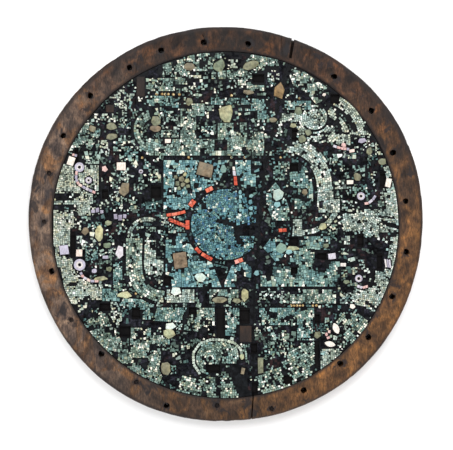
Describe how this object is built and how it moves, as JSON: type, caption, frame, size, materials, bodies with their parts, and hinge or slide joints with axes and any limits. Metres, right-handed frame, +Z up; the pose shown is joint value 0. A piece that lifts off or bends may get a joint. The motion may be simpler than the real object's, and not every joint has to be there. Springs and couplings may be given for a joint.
{
  "type": "round mosaic shield",
  "caption": "Round wooden shield board with a plain border pierced by small holes and a stone and shell mosaic field set in dark resin, lying face up.",
  "frame": {"origin": "middle of the shield's footprint, on its flat back", "axes": "+Z up through the mosaic face, +Y towards the top of the shield, +X to its right as seen from the front"},
  "size_m": [0.3148, 0.3148, 0.0188],
  "materials": {
    "wood": "old brown softwood, mottled, worn matt with dark stains",
    "resin": "near-black aged resin, half gloss",
    "blue_turquoise": "polished blue turquoise tiles with dark joints",
    "pale_turquoise": "polished grey-green turquoise tiles with dark joints",
    "red_shell": "orange-red shell, lightly polished",
    "pale_shell": "white, pink and lavender shell, lightly polished"
  },
  "bodies": {
    "root": {"wooden_disc": "wood", "resin_bed": "resin", "almond_shell_lower": "pale_shell", "almond_shell_upper": "pale_shell", "bottom_green_panel": "pale_turquoise", "bottom_left_panel": "pale_turquoise", "bottom_left_rim_field": "pale_turquoise", "bottom_middle_panel": "pale_turquoise", "bottom_right_panel": "pale_turquoise", "bottom_right_rim_field": "pale_turquoise", "bottom_rim_field": "pale_turquoise", "crown_left": "pale_turquoise", "crown_middle": "pale_turquoise", "crown_right": "pale_turquoise", "feather_field": "pale_turquoise", "left_band": "pale_turquoise", "left_inner_band": "pale_turquoise", "left_loop_top": "pale_turquoise", "left_ray_lower_shell": "red_shell", "left_ray_upper_shell": "red_shell", "left_side_field": "pale_turquoise", "lower_band_left": "pale_turquoise", "lower_band_middle": "pale_turquoise", "lower_band_right": "pale_turquoise", "lower_left_eye": "pale_shell", "lower_left_field": "pale_turquoise", "lower_right_eye": "pale_shell", "lower_right_field": "pale_turquoise", "lower_right_rim_field": "pale_turquoise", "lower_right_wedge": "pale_turquoise", "right_band": "pale_turquoise", "right_band_end": "pale_turquoise", "right_ray_shell": "red_shell", "right_shield_field": "pale_turquoise", "right_side_field": "pale_turquoise", "ring_shell_bottom": "pale_shell", "ring_shell_left": "red_shell", "ring_shell_lower_left_1": "red_shell", "ring_shell_lower_left_2": "red_shell", "ring_shell_top": "red_shell", "roundel": "pale_turquoise", "scroll_field": "pale_turquoise", "sun_disc": "blue_turquoise", "sun_field_lower_far_right": "blue_turquoise", "sun_field_lower_left": "blue_turquoise", "sun_field_lower_right": "blue_turquoise", "sun_field_right": "blue_turquoise", "sun_field_upper_left": "blue_turquoise", "sun_field_upper_right": "blue_turquoise", "top_ray_shell": "red_shell", "top_ray_white_shell": "pale_shell", "upper_band": "pale_turquoise", "upper_block": "pale_turquoise", "upper_left_eye": "pale_shell", "upper_left_rim_field": "pale_turquoise", "upper_right_eye": "pale_shell", "upper_right_field": "pale_turquoise", "upper_strip_left": "pale_turquoise", "upper_strip_middle": "pale_turquoise", "upper_strip_right": "pale_turquoise"}
  },
  "joints": []
}
